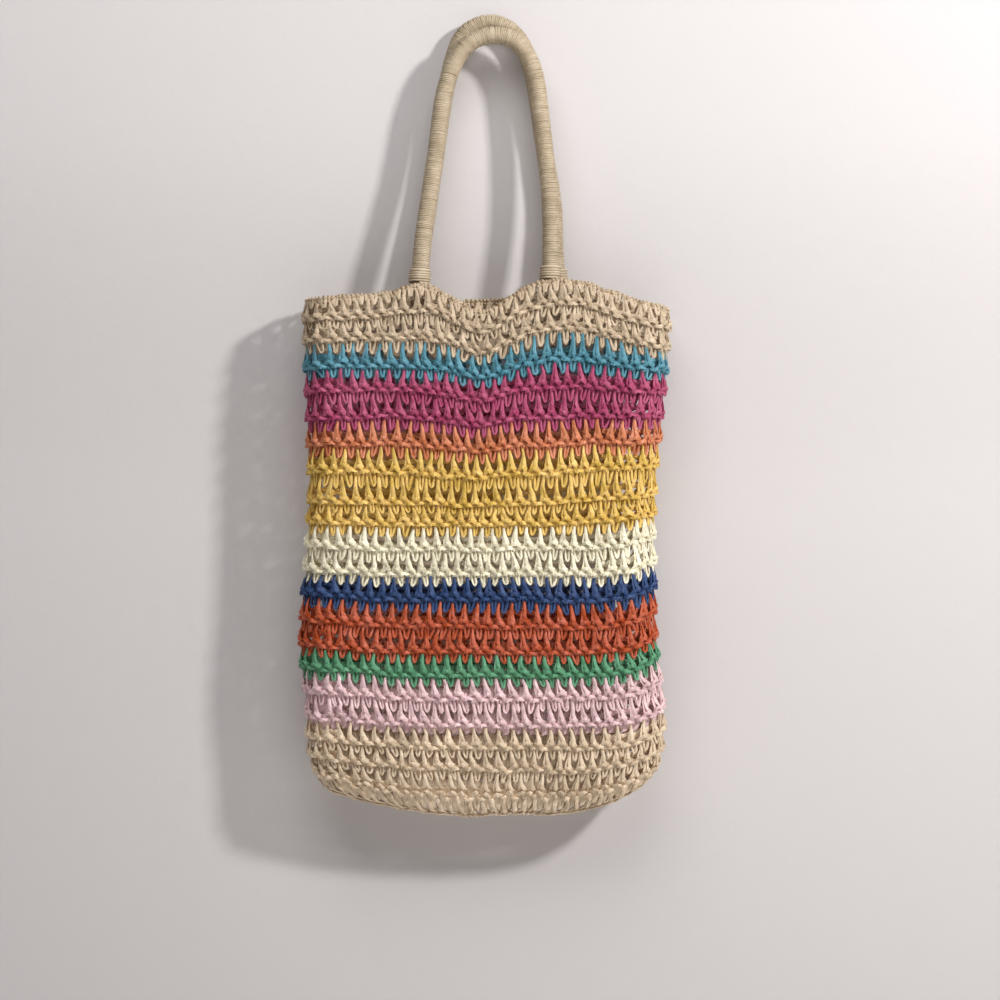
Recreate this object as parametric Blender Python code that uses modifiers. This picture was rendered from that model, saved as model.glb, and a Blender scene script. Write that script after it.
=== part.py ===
"""Crocheted paper-straw tote bag, hung by its two twine-wrapped rope handles.

Metres, +Z up. The front faces -Y and +X is to the right seen from the front. The origin
is the point under the crowns of the handles where a peg carries the bag.
"""

import math

import bmesh
import bpy
from mathutils import Vector

# Fit between pieces that touch
CLEARANCE = 0.0003

# Crocheted wall: its thickness between two chain lines, how far a chain line stands out,
# and how far above and below its own line it reaches
WALL = 0.0042
CHAIN_RELIEF = 0.0016
CHAIN_ABOVE = 0.0040
CHAIN_BELOW = 0.0024

# Width of the bag at its mouth, waist and hips, and how far below the mouth those lie
RIM_WIDTH = 0.2896
WAIST_WIDTH = 0.2736
HIP_WIDTH = 0.2820
WAIST_DROP = 0.170
HIP_DROP = 0.300
# Depth from front wall to back wall, without the chain lines, and the swell of each wall
RIM_DEPTH = 0.042
BODY_DEPTH = 0.046
BELLY = 0.0030
# Middle of the bag beside the peg at the mouth and hips, and its shift back at the base
RIM_MIDDLE = -0.0026
HIP_MIDDLE = -0.0095
BASE_SHIFT = 0.0065
# Base: height over which the walls draw in, how far each side draws in, the thickness of
# its floor and of the seam that closes it
BASE_TURN = 0.060
BASE_INSET = 0.0198
FLOOR = 0.0060
SEAM_DEPTH = 0.0060

# Soft hang: mean line of the mouth under the peg, tilt of the rounds, droop of the left
# corner and curl of the base's corners
MOUTH_DROP = 0.2000
TILT = 0.040
CORNER_DROOP = 0.0043
CURL_LEFT = 0.0032
CURL_RIGHT = 0.0120
SEAM_CURL_LEFT = 0.0115
SEAM_CURL_RIGHT = 0.0175
# The mouth rises at the handles and dips between them, less so at the back and less and
# less down the bag
RISE_LEFT = 0.0090
RISE_RIGHT = 0.0165
REACH_LEFT = 0.022
REACH_RIGHT = 0.046
DIP = 0.0095
DIP_REACH = 0.020
BACK_DIP_SHARE = 0.25
WAVE_FADE = 0.120

# Stripes from the mouth down: name, height of each round, colour
NATURAL = (0.55, 0.44, 0.30)
STRIPES = (
    ("rim_band", (0.0168, 0.0176), NATURAL),
    ("turquoise_band", (0.0216,), (0.08, 0.36, 0.45)),
    ("magenta_band", (0.0184, 0.0216), (0.42, 0.05, 0.14)),
    ("orange_band", (0.0208,), (0.75, 0.25, 0.10)),
    ("yellow_band", (0.0220, 0.0252, 0.0168), (0.75, 0.46, 0.09)),
    ("white_band", (0.0200, 0.0200), (0.78, 0.72, 0.55)),
    ("blue_band", (0.0200,), (0.03, 0.06, 0.22)),
    ("red_band", (0.0208, 0.0200), (0.55, 0.09, 0.04)),
    ("green_band", (0.0176,), (0.06, 0.26, 0.11)),
    ("pink_band", (0.0184, 0.0216), (0.74, 0.50, 0.52)),
    ("base_band", (0.0168, 0.0176, 0.0184, 0.0208), (0.52, 0.40, 0.24)),
)
BODY_HEIGHT = sum(sum(rounds) for _, rounds, _ in STRIPES)

# Columns of the wall: groups of stitches with a gap between each two on the front and on
# the back, of which some are open in each round, and plain columns round each side
GAPS_ACROSS = 7
OPEN_GAPS = 3
LAST_OPEN_ROUND = 20
GAP_WIDTH = 0.0044
SIDE_COLUMNS = 5

# Handles: rope wound with twine, and the middle and spread of their feet
HANDLE_DIAMETER = 0.0140
TWINE_LAYER = 0.0014
HANDLE_MIDDLE = -0.0044
HANDLE_SPREAD = 0.1048
FOOT_TUCK = 0.0240
WINDING_SIDES = 8
CORE_SIDES = 6
ROUTE_POINTS = 31
# Lashing wound over each foot just above the mouth
LASHING_LAYER = 0.0012
LASHING_HEIGHT = 0.0110
LASHING_LIFT = 0.0012
LASHING_STEPS = 12

# Courses of the handles as they hang: across in half spreads from their middle, and up
# from the mouth at 0 to the peg at 1
FRONT_COURSE = (
    (-1.000, 0.000),
    (-0.939, 0.185),
    (-0.832, 0.390),
    (-0.740, 0.553),
    (-0.641, 0.759),
    (-0.527, 0.872),
    (-0.420, 0.933),
    (-0.267, 0.984),
    (-0.069, 1.012),
    (0.160, 1.023),
    (0.366, 1.013),
    (0.542, 0.985),
    (0.679, 0.932),
    (0.779, 0.854),
    (0.840, 0.740),
    (0.924, 0.546),
    (1.000, 0.339),
    (1.015, 0.132),
    (1.000, 0.000),
)
BACK_COURSE = (
    (-1.011, 0.000),
    (-0.950, 0.185),
    (-0.844, 0.390),
    (-0.752, 0.553),
    (-0.634, 0.757),
    (-0.527, 0.883),
    (-0.443, 0.962),
    (-0.328, 1.018),
    (-0.153, 1.051),
    (0.069, 1.068),
    (0.298, 1.056),
    (0.481, 1.019),
    (0.603, 0.971),
    (0.695, 0.903),
    (0.786, 0.805),
    (0.935, 0.546),
    (1.061, 0.339),
    (1.092, 0.132),
    (1.130, 0.000),
)
TWINE = (0.50, 0.42, 0.31)
ROPE = (0.60, 0.55, 0.45)


def ease(x):
    """Smooth step from 0 to 1 as x goes from 0 to 1."""
    x = min(max(x, 0.0), 1.0)
    return x * x * (3 - 2 * x)


def mix(a, b, share):
    return a + (b - a) * share


def bell(x, middle, reach):
    return math.exp(-(((x - middle) / reach) ** 2))


def base_turn(drop):
    """Share of the turn into the base, 0 on the walls and 1 at the seam."""
    return min(max((drop - BODY_HEIGHT + BASE_TURN) / BASE_TURN, 0.0), 1.0)


def half_width(drop):
    """Half the bag's width at a distance below the mouth."""
    if drop < WAIST_DROP:
        wide = mix(RIM_WIDTH, WAIST_WIDTH, ease(drop / WAIST_DROP))
    else:
        wide = mix(WAIST_WIDTH, HIP_WIDTH, ease((drop - WAIST_DROP) / (HIP_DROP - WAIST_DROP)))
    return wide / 2 - BASE_INSET * (1 - math.sqrt(1 - base_turn(drop) ** 2))


def half_depth(drop):
    """Half the bag's depth at a distance below the mouth."""
    deep = mix(RIM_DEPTH, BODY_DEPTH, ease(drop / WAIST_DROP))
    return mix(SEAM_DEPTH, deep, math.sqrt(1 - base_turn(drop) ** 2)) / 2


def middle_x(drop):
    """Middle of the bag beside the peg at a distance below the mouth."""
    back = ease((drop - HIP_DROP) / (BODY_HEIGHT - HIP_DROP))
    return mix(RIM_MIDDLE, HIP_MIDDLE, ease(drop / HIP_DROP)) + BASE_SHIFT * back


def level(x, y, drop):
    """Height of a round at x, with the bag's soft hang; y only tells front from back."""
    across = (x - middle_x(drop)) / half_width(drop)
    grown = ease(drop / HIP_DROP)
    z = -MOUTH_DROP - drop - TILT * x
    turned = ease(base_turn(drop)) * across**2
    if across < 0:
        z += mix(-CORNER_DROOP, CURL_LEFT, grown) * across**4 + SEAM_CURL_LEFT * turned
    else:
        z += CURL_RIGHT * grown * across**6 + SEAM_CURL_RIGHT * turned
    left_foot = HANDLE_MIDDLE - HANDLE_SPREAD / 2
    right_foot = HANDLE_MIDDLE + HANDLE_SPREAD / 2
    wave = RISE_LEFT * bell(x, left_foot, REACH_LEFT)
    wave += RISE_RIGHT * bell(x, right_foot + REACH_RIGHT / 4, REACH_RIGHT)
    wave -= DIP * (1 if y < 0 else BACK_DIP_SHARE) * bell(x, HANDLE_MIDDLE, DIP_REACH)
    return z + wave * bell(drop, 0, WAVE_FADE)


def wall_point(station, drop, outset):
    """Point of the wall at a station round the bag; outset is level, away from the inside."""
    flat, angle = station
    deep = half_depth(drop)
    straight = half_width(drop) - deep
    outward = Vector((math.cos(angle), math.sin(angle), 0))
    swell = BELLY * (1 - flat**2) * (1 - base_turn(drop))
    point = Vector((middle_x(drop) + straight * flat, 0, 0)) + outward * (deep + swell)
    point.z = level(point.x, point.y, drop)
    return point + outward * outset


def lining_y(x):
    """Distance of the front or back wall's inner face from the bag's middle at the mouth."""
    flat = (x - middle_x(0)) / (half_width(0) - half_depth(0))
    return half_depth(0) + BELLY * (1 - flat**2) - WALL


def stations():
    """Stations round the bag: the front's from left to right, the right side's, the back's
    and the left side's. Each is a share of the flat's half length and an angle."""
    straight = RIM_WIDTH - RIM_DEPTH
    group = (straight - GAPS_ACROSS * GAP_WIDTH) / (GAPS_ACROSS + 1)
    run = [0.0]
    for _ in range(GAPS_ACROSS):
        run.append(run[-1] + group)
        run.append(run[-1] + GAP_WIDTH)
    run.append(straight)
    front = [(2 * along / straight - 1, -math.pi / 2) for along in run]
    back = [(flat, math.pi / 2) for flat, _ in reversed(front)]
    turn = [math.pi * (i / SIDE_COLUMNS - 0.5) for i in range(1, SIDE_COLUMNS)]
    right = [(1.0, angle) for angle in turn]
    left = [(-1.0, angle + math.pi) for angle in turn]
    return front + right + back + left


def open_columns(round_number):
    """Columns that are open in a round, stepped sideways from one round to the next."""
    back_start = 2 * GAPS_ACROSS + 1 + SIDE_COLUMNS
    columns = set()
    for gap in range(GAPS_ACROSS):
        if (OPEN_GAPS * gap + 2 * round_number) % GAPS_ACROSS < OPEN_GAPS:
            columns.add(2 * gap + 1)
            columns.add(back_start + 2 * gap + 1)
    return columns


def band_levels(top, rounds):
    """Drops of a stripe's levels, in turn tucked in and proud, each with its relief."""
    bottom = top + sum(rounds)
    upper = top + CHAIN_BELOW + CLEARANCE / 2 if top > 0 else 0.0
    is_base = BODY_HEIGHT - bottom < CLEARANCE
    lower = BODY_HEIGHT if is_base else bottom + CHAIN_BELOW - CLEARANCE / 2
    levels = [(upper, 0.0)]
    line = top
    for height in rounds:
        line += height
        levels.append((line - CHAIN_ABOVE, CHAIN_RELIEF))
        levels.append((line + CHAIN_BELOW, 0.0))
    levels[-1] = (lower, 0.0)
    return levels, is_base


def material(name, colour, roughness):
    made = bpy.data.materials.new(name)
    made.use_nodes = True
    shader = made.node_tree.nodes["Principled BSDF"]
    shader.inputs["Base Color"].default_value = (*colour, 1.0)
    shader.inputs["Roughness"].default_value = roughness
    shader.inputs["Metallic"].default_value = 0.0
    return made


def new_object(name, data, paint, collection):
    made = bpy.data.objects.new(name, data)
    data.materials.append(paint)
    collection.objects.link(made)
    return made


def bridge(mesh, ring_a, ring_b, skipped=()):
    """Quads between two rings of as many vertices, apart from the skipped columns."""
    count = len(ring_a)
    for i in range(count):
        if i not in skipped:
            j = (i + 1) % count
            mesh.faces.new((ring_a[i], ring_a[j], ring_b[j], ring_b[i]))


def close_seam(mesh, ring):
    """Strip of quads across the base, from the front half of a ring to its back half."""
    half_side = SIDE_COLUMNS // 2
    last = 2 * GAPS_ACROSS + 1 + half_side
    pairs = []
    for i in range(-half_side, last + 1):
        opposite = 4 * GAPS_ACROSS + 2 + SIDE_COLUMNS - i
        pairs.append((ring[i % len(ring)], ring[opposite % len(ring)]))
    for (a, b), (c, d) in zip(pairs, pairs[1:]):
        mesh.faces.new((a, c, d, b))


def crochet_band(name, top, rounds, first_round, paint, collection):
    """One stripe: a ridged wall all round, with gaps; the lowest one is closed below."""
    levels, is_base = band_levels(top, rounds)
    places = stations()
    mesh = bmesh.new()
    outer = []
    inner = []
    for drop, relief in levels:
        lining = drop - FLOOR * base_turn(drop)
        outer.append([mesh.verts.new(wall_point(place, drop, relief)) for place in places])
        inner.append([mesh.verts.new(wall_point(place, lining, -WALL)) for place in places])
    notches = set()
    for i in range(len(levels) - 1):
        round_number = first_round + i // 2
        opened = set()
        if i % 2 == 0 and 0 < round_number < LAST_OPEN_ROUND:
            opened = open_columns(round_number)
        if i == 0:
            notches = opened
        bridge(mesh, outer[i], outer[i + 1], opened)
        bridge(mesh, inner[i], inner[i + 1], opened)
        for a in opened:
            b = a + 1
            outer_frame = (outer[i][a], outer[i][b], outer[i + 1][b], outer[i + 1][a])
            inner_frame = (inner[i][a], inner[i][b], inner[i + 1][b], inner[i + 1][a])
            bridge(mesh, outer_frame, inner_frame, {0} if i == 0 else ())
    bridge(mesh, outer[0], inner[0], notches)
    if is_base:
        close_seam(mesh, outer[-1])
        close_seam(mesh, inner[-1])
    else:
        bridge(mesh, outer[-1], inner[-1])
    bmesh.ops.recalc_face_normals(mesh, faces=mesh.faces)
    data = bpy.data.meshes.new(name)
    mesh.to_mesh(data)
    mesh.free()
    return new_object(name, data, paint, collection)


def smooth_route(points, count):
    """Points at equal steps along a smooth curve through the given ones."""
    fine = []
    padded = [2 * points[0] - points[1], *points, 2 * points[-1] - points[-2]]
    steps = 12
    for a, b, c, d in zip(padded, padded[1:], padded[2:], padded[3:]):
        for i in range(steps):
            t = i / steps
            bend = a * 2 - b * 5 + c * 4 - d
            twist = b * 3 - a - c * 3 + d
            fine.append((b * 2 + (c - a) * t + bend * t**2 + twist * t**3) / 2)
    fine.append(points[-1])
    lengths = [0.0]
    for a, b in zip(fine, fine[1:]):
        lengths.append(lengths[-1] + (b - a).length)
    route = []
    spot = 0
    for i in range(count):
        wanted = lengths[-1] * i / (count - 1)
        while spot < len(fine) - 2 and lengths[spot + 1] < wanted:
            spot += 1
        share = (wanted - lengths[spot]) / (lengths[spot + 1] - lengths[spot])
        route.append(fine[spot].lerp(fine[spot + 1], min(share, 1.0)))
    return route


def handle_route(course, side):
    """Centre line of a handle; side is -1 for the front one and 1 for the back one."""
    radius = HANDLE_DIAMETER / 2
    crown_y = radius + LASHING_LAYER
    points = []
    for across, up in course:
        x = HANDLE_MIDDLE + across * HANDLE_SPREAD / 2
        foot_y = lining_y(x) - CLEARANCE - radius
        y = side * mix(foot_y, crown_y, ease(up))
        points.append(Vector((x, y, mix(level(x, side, 0), radius, up))))
    tuck = Vector((0, 0, FOOT_TUCK))
    return smooth_route([points[0] - tuck, *points, points[-1] - tuck], ROUTE_POINTS)


def tube(name, route, radius, sides, filled, paint, collection):
    """Round bar along a route, open at its ends unless it is filled."""
    data = bpy.data.curves.new(name, "CURVE")
    data.dimensions = "3D"
    data.bevel_depth = radius
    data.bevel_resolution = sides // 2 - 2
    data.use_fill_caps = filled
    spline = data.splines.new("POLY")
    spline.points.add(len(route) - 1)
    for point, place in zip(spline.points, route):
        point.co = (*place, 1.0)
    return new_object(name, data, paint, collection)


def lashing(name, centre, direction, paint, collection):
    """Ring of extra turns round a handle's foot, as a turned profile."""
    inside = (HANDLE_DIAMETER / 2 + CLEARANCE) / math.cos(math.pi / LASHING_STEPS)
    outside = inside + LASHING_LAYER
    half = LASHING_HEIGHT / 2
    profile = ((inside, half), (outside, 0.7 * half), (outside, -0.7 * half), (inside, -half))
    data = bpy.data.meshes.new(name)
    corners = [(radius, 0.0, height) for radius, height in profile]
    data.from_pydata(corners, [(0, 1), (1, 2), (2, 3), (3, 0)], [])
    made = new_object(name, data, paint, collection)
    made.location = centre
    made.rotation_euler = direction.to_track_quat("Z", "Y").to_euler()
    turned = made.modifiers.new("Turned", "SCREW")
    turned.steps = LASHING_STEPS
    turned.render_steps = LASHING_STEPS
    turned.use_merge_vertices = True
    turned.merge_threshold = 0.00001
    return made


def handle(place, course, side, paints, collection):
    """Rope core, its twine winding and the lashing over each of its feet."""
    twine, rope = paints
    route = handle_route(course, side)
    radius = HANDLE_DIAMETER / 2
    core_radius = (radius - TWINE_LAYER) * math.cos(math.pi / WINDING_SIDES) - CLEARANCE
    winding_name = f"handle_{place}_winding"
    winding = tube(winding_name, route, radius, WINDING_SIDES, False, twine, collection)
    shell = winding.modifiers.new("Twine layer", "SOLIDIFY")
    shell.thickness = TWINE_LAYER
    shell.offset = -1.0
    tube(f"handle_{place}_core", route, core_radius, CORE_SIDES, True, rope, collection)
    for hand, ends in (("left", route), ("right", route[::-1])):
        middle = level(ends[0].x, side, 0) + LASHING_LIFT + LASHING_HEIGHT / 2
        above = next(i for i, point in enumerate(ends) if point.z > middle)
        below = ends[above - 1]
        share = (middle - below.z) / (ends[above].z - below.z)
        centre = below.lerp(ends[above], share)
        lashing(f"lashing_{place}_{hand}", centre, ends[above] - below, twine, collection)


def build():
    for old in list(bpy.data.objects):
        bpy.data.objects.remove(old)
    bag = bpy.data.collections.new("crocheted_straw_tote")
    bpy.context.scene.collection.children.link(bag)
    top = 0.0
    round_number = 0
    for name, rounds, colour in STRIPES:
        straw = material(f"{name} straw", colour, 0.6)
        crochet_band(name, top, rounds, round_number, straw, bag)
        top += sum(rounds)
        round_number += len(rounds)
    paints = (material("handle twine", TWINE, 0.6), material("handle rope", ROPE, 0.8))
    handle("front", FRONT_COURSE, -1, paints, bag)
    handle("back", BACK_COURSE, 1, paints, bag)


build()
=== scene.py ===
"""Dress the crocheted tote: every stitch in straw yarn, twine-wound handles, wall and light.

Metres, +Z up, the front faces -Y, the origin lies under the crowns of the handles.
"""

import math

import bpy
import numpy as np
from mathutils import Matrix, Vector


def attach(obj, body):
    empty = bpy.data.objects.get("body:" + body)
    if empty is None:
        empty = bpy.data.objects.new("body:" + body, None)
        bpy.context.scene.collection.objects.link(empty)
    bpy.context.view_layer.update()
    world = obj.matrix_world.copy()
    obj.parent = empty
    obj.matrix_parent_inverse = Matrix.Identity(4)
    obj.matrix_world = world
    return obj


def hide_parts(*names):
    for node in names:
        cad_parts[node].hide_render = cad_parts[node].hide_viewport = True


# Form of the body, close to the frame's bands; rounds and mouth hang a little differently
RIM_WIDTH, WAIST_WIDTH, HIP_WIDTH = 0.2896, 0.2736, 0.2820
WAIST_DROP, HIP_DROP = 0.170, 0.300
RIM_DEPTH, BODY_DEPTH, BELLY = 0.042, 0.046, 0.0030
RIM_MIDDLE, HIP_MIDDLE, BASE_SHIFT = -0.0026, -0.0095, 0.0065
SHIFT_FROM, SHIFT_TO = 0.275, 0.350
BASE_TURN, BASE_INSET, SEAM_DEPTH = 0.060, 0.0198, 0.0060
# Hang of the rounds, which lose most of the mouth's tilt further down. The right rise's
# middle lies outside its foot by a share of its reach.
MOUTH_DROP, TILT = 0.2000, 0.040
CORNER_DROOP, CURL_LEFT, CURL_RIGHT = 0.0043, 0.0032, 0.0120
SEAM_CURL_LEFT, SEAM_CURL_RIGHT = 0.0115, 0.0175
RISE_LEFT, RISE_RIGHT, REACH_LEFT, REACH_RIGHT = 0.0090, 0.0165, 0.022, 0.046
RISE_OUTSIDE = 0.25
DIP, DIP_REACH, BACK_DIP_SHARE, DIP_FADE = 0.0120, 0.022, -0.15, 0.100
FADE_LEFT, FADE_RIGHT = 0.030, 0.070
TILT_LOST, LEVEL_X, LEVEL_FROM, TILTED_FROM, TILTED_TO = 0.036, -0.072, 0.100, 0.325, 0.405
SIDE_LIFT, LIFT_X, LIFT_REACH, LIFT_DROP, LIFT_HEIGHT = 0.0032, 0.088, 0.035, 0.155, 0.050
HANDLE_MIDDLE, HANDLE_SPREAD = -0.0044, 0.1048

# Stripes from the mouth down: node, height of each round
STRIPES = (
    ("rim_band", (0.0168, 0.0176)),
    ("turquoise_band", (0.0216,)),
    ("magenta_band", (0.0184, 0.0216)),
    ("orange_band", (0.0208,)),
    ("yellow_band", (0.0220, 0.0252, 0.0168)),
    ("white_band", (0.0200, 0.0200)),
    ("blue_band", (0.0200,)),
    ("red_band", (0.0208, 0.0200)),
    ("green_band", (0.0176,)),
    ("pink_band", (0.0184, 0.0216)),
    ("base_band", (0.0168, 0.0176, 0.0184, 0.0208)),
)
ROUND_HEIGHTS = [height for _, rounds in STRIPES for height in rounds]
BODY_HEIGHT = sum(ROUND_HEIGHTS)
# The form runs past the mouth and the seam by these shares of a round
ABOVE_MOUTH, BELOW_SEAM = 0.5, 0.3

STITCHES = 64
YARN_RADIUS = 0.00172
YARN_SIDES, HIDDEN_SIDES = 6, 5
CREASE, LOOSENESS = 0.22, 1.15
# Depth of a strand out of the wall, as a share of its width
CHAIN_FLATNESS, LEG_FLATNESS, SEAM_FLATNESS = 0.80, 0.62, 0.75
SHORT_LOOP_FLATNESS, HIDDEN_FLATNESS = 0.70, 0.45
TURNED_THICKNESS, TURNED_LOOSENESS = 1.1, 1.6
FORM_COLUMNS, FORM_LINES = 5 * STITCHES, 181
# Wander of the strands: noise scale for each stitch, and the ranges across in stitches, down
# in rounds and outward in metres
WANDER = (
    (0.80, (0.75, 0.26, 0.0022)),
    (0.11, (1.10, 0.42, 0.0030)),
)
# Distance of one round from the next in that noise, in stitches
ROUND_APART = 1.6
# Unevenness along a strand: noise scale for each metre, range of roll, least and added thickness
UNEVEN_SCALE, ROLL = 170.0, 2.0
THINNEST, SWELL = 0.7, 0.6
MERGE_WITHIN = 0.00002

# Strands of one stitch: across in stitches, down in rounds, outward in millimetres,
# thickness. Links run on into the next stitch's; the others end behind the links.
LINKS = (
    (
        (0.04, 0.060, 1.4, 0.78),
        (0.22, -0.050, 2.9, 0.94),
        (0.40, -0.115, 4.0, 1.00),
        (0.58, -0.070, 3.9, 0.96),
        (0.74, 0.020, 2.6, 0.80),
        (0.88, 0.085, 1.5, 0.72),
    ),
    (
        (0.00, 0.070, 3.9, 0.96),
        (0.18, 0.105, 2.8, 0.84),
        (0.36, 0.070, 1.3, 0.72),
        (0.54, 0.050, 1.2, 0.72),
        (0.70, 0.105, 2.8, 0.86),
        (0.86, 0.125, 3.9, 0.98),
    ),
)
LEGS = (
    (
        (0.320, -0.86, -1.8, 0.40),
        (0.310, -0.72, 0.5, 0.52),
        (0.300, -0.50, 1.4, 0.66),
        (0.285, -0.28, 1.8, 0.88),
        (0.262, -0.13, 1.9, 1.02),
        (0.262, 0.04, 1.0, 0.90),
        (0.200, 0.20, 0.4, 0.75),
        (0.160, 0.34, -1.6, 0.60),
    ),
    (
        (0.340, -0.86, -1.8, 0.40),
        (0.365, -0.72, 0.9, 0.56),
        (0.395, -0.50, 2.1, 0.74),
        (0.455, -0.29, 2.9, 0.96),
        (0.590, -0.13, 3.4, 1.08),
        (0.800, -0.04, 2.4, 0.84),
    ),
    (
        (0.430, -0.16, 0.2, 0.80),
        (0.430, 0.04, 0.9, 0.85),
        (0.400, 0.20, 1.0, 0.72),
        (0.420, 0.36, -1.4, 0.60),
    ),
)
FOLDS = (
    (
        (0.120, -1.02, -0.8, 0.75),
        (0.150, -0.74, 1.0, 1.05),
        (0.270, -0.46, 2.2, 1.25),
        (0.480, -0.22, 2.5, 1.10),
        (0.700, -0.06, 0.8, 0.80),
    ),
    (
        (0.620, -1.02, -0.8, 0.75),
        (0.580, -0.74, 0.8, 1.00),
        (0.440, -0.44, 1.0, 1.00),
        (0.260, -0.20, 1.2, 0.90),
        (0.140, -0.05, 0.6, 0.75),
    ),
    (
        (0.860, -1.02, -0.9, 0.80),
        (0.860, -0.78, 0.3, 1.00),
        (0.850, -0.56, -0.4, 0.80),
    ),
)
LOOP = (
    (0.570, -0.02, 0.8, 0.56),
    (0.550, 0.24, 1.3, 0.52),
    (0.590, 0.48, 1.6, 0.52),
    (0.710, 0.58, 1.8, 0.56),
    (0.830, 0.48, 1.6, 0.52),
    (0.870, 0.24, 1.3, 0.52),
    (0.860, -0.02, 0.8, 0.56),
)
HIDDEN_WRAPS = (
    ((0.570, -0.06, -0.6, 0.90), (0.600, 0.22, -1.2, 1.00), (0.640, 0.52, -2.1, 0.75)),
    ((0.720, -0.06, -0.5, 0.85), (0.710, 0.22, -1.1, 0.95), (0.740, 0.50, -2.0, 0.75)),
    ((0.870, -0.06, -0.6, 0.90), (0.880, 0.22, -1.2, 1.00), (0.860, 0.50, -2.1, 0.75)),
)
INSIDE_TURNS = (
    ((0.00, 0.660, -1.9, 1.40), (0.50, 0.740, -2.3, 1.40)),
)
EDGE_TURNS, EDGE_POINTS = 3, 4
EDGE_LINE, TURNED_LINE = 0.18, 0.16
# Each strand over the mouth's edge: middle, reach down and out, thickness
EDGE_STRANDS = (
    (0.120, (0.050, 1.5), 0.92),
    (0.270, (0.045, 1.4), 0.70),
)
SHORT_LOOP = (
    (0.560, 0.10, 0.6, 0.78),
    (0.580, 0.36, 1.6, 0.80),
    (0.640, 0.52, 2.2, 0.90),
    (0.760, 0.52, 2.2, 0.90),
    (0.820, 0.36, 1.6, 0.80),
    (0.840, 0.10, 0.6, 0.78),
)
SEAM_LINKS = (
    (
        (0.05, -0.070, 2.6, 0.80),
        (0.30, -0.010, 2.0, 0.74),
        (0.55, -0.080, 2.7, 0.82),
        (0.80, 0.000, 1.9, 0.74),
    ),
    ((0.10, 0.020, -0.4, 1.10), (0.60, 0.050, -0.6, 1.10)),
    ((0.00, -0.220, -2.4, 1.30), (0.50, -0.260, -2.6, 1.30)),
    ((0.20, -0.500, -2.8, 1.30), (0.70, -0.460, -3.0, 1.30)),
)
ROUND_DRIFT = -0.13

# Courses of the handles: across in half spreads, up from the mouth at 0 to the peg at 1
FRONT_COURSE = (
    (-1.000, 0.000),
    (-0.939, 0.185),
    (-0.832, 0.390),
    (-0.740, 0.553),
    (-0.641, 0.759),
    (-0.527, 0.872),
    (-0.420, 0.933),
    (-0.267, 0.984),
    (-0.069, 1.012),
    (0.160, 1.023),
    (0.366, 1.013),
    (0.542, 0.985),
    (0.679, 0.932),
    (0.779, 0.854),
    (0.840, 0.740),
    (0.924, 0.546),
    (1.000, 0.339),
    (1.015, 0.132),
    (1.000, 0.000),
)
BACK_COURSE = (
    (-1.011, 0.000),
    (-0.950, 0.185),
    (-0.844, 0.390),
    (-0.752, 0.555),
    (-0.640, 0.765),
    (-0.535, 0.900),
    (-0.446, 0.984),
    (-0.328, 1.042),
    (-0.153, 1.075),
    (0.069, 1.092),
    (0.298, 1.080),
    (0.481, 1.043),
    (0.606, 0.993),
    (0.703, 0.920),
    (0.792, 0.812),
    (0.935, 0.548),
    (1.061, 0.339),
    (1.092, 0.132),
    (1.130, 0.000),
)
WALL_THICKNESS = 0.0042
HANDLE_RADIUS = 0.0070
CORE_RADIUS = 0.0056
FOOT_TUCK = 0.0240
SEATED = 0.0003
CROWNS_APART = 0.0024
ROUTE_STEP = 0.004
TWINE_RADIUS = 0.00078
TWINE_LIFT = 0.0001
TWINE_TURN_POINTS, TWINE_SIDES = 12.0, 5
TWINE_PITCH = 0.00138
# Unevenness of the twine: noise scale for each turn, and the ranges of radius in metres, slip
# in pitches and thickness
WOBBLE_SCALE, RADIUS_WOBBLE, SLIP, THICKNESS_CHANGE = 0.7, 0.0009, 0.7, 0.55
LASHING_PITCH = 0.0021
LASHING_HEIGHT = 0.0115
LASHING_LIFT = 0.0008
LASHING_OVER_HANDLE = 0.0006
LASHING_TWINE_RADIUS = 0.00125
LASHING_TURN_POINTS = 18.0

# Colours of the straw, linear
STRAW_COLOURS = {
    "rim_band": (0.585, 0.460, 0.321),
    "turquoise_band": (0.096, 0.287, 0.371),
    "magenta_band": (0.440, 0.073, 0.166),
    "orange_band": (0.665, 0.234, 0.114),
    "yellow_band": (0.798, 0.538, 0.141),
    "white_band": (0.895, 0.836, 0.640),
    "blue_band": (0.030, 0.068, 0.193),
    "red_band": (0.525, 0.103, 0.041),
    "green_band": (0.119, 0.346, 0.190),
    "pink_band": (0.820, 0.582, 0.604),
    "base_band": (0.764, 0.614, 0.444),
}
TWINE_COLOUR = (0.54, 0.44, 0.31)
ROPE_DARK, ROPE_LIGHT = (0.34, 0.30, 0.23), (0.66, 0.60, 0.50)

# Finish of straw and twine: crease depth, crease count, twist for each metre, and how far the
# colour is lightened and darkened: partly the straw's uneven tone, partly painted shade in the
# crease valleys and painted highlights on the ridges
STRAW_FINISH = (1.0, 2.2, 900.0, 0.80)
TWINE_FINISH = (1.0, 1.8, 600.0, 0.60)
# Noise scales for each metre, and how much the wider ones count beside the streaks
STREAKS_ALONG, PATCH_SCALE, BROAD_SCALE = 90.0, 110.0, 14.0
PATCH_SHARE, BROAD_SHARE = 1.1, 0.5
# Lightened parts lose saturation and darkened ones gain it, which makes painted highlights paler
# and painted shade deeper in colour
SATURATION_LOST = 0.35
SMOOTHEST, ROUGHNESS_CHANGE = 0.34, 0.35
CREASE_HEIGHT, CREASE_STRENGTH = 0.0004, 0.8

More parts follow.
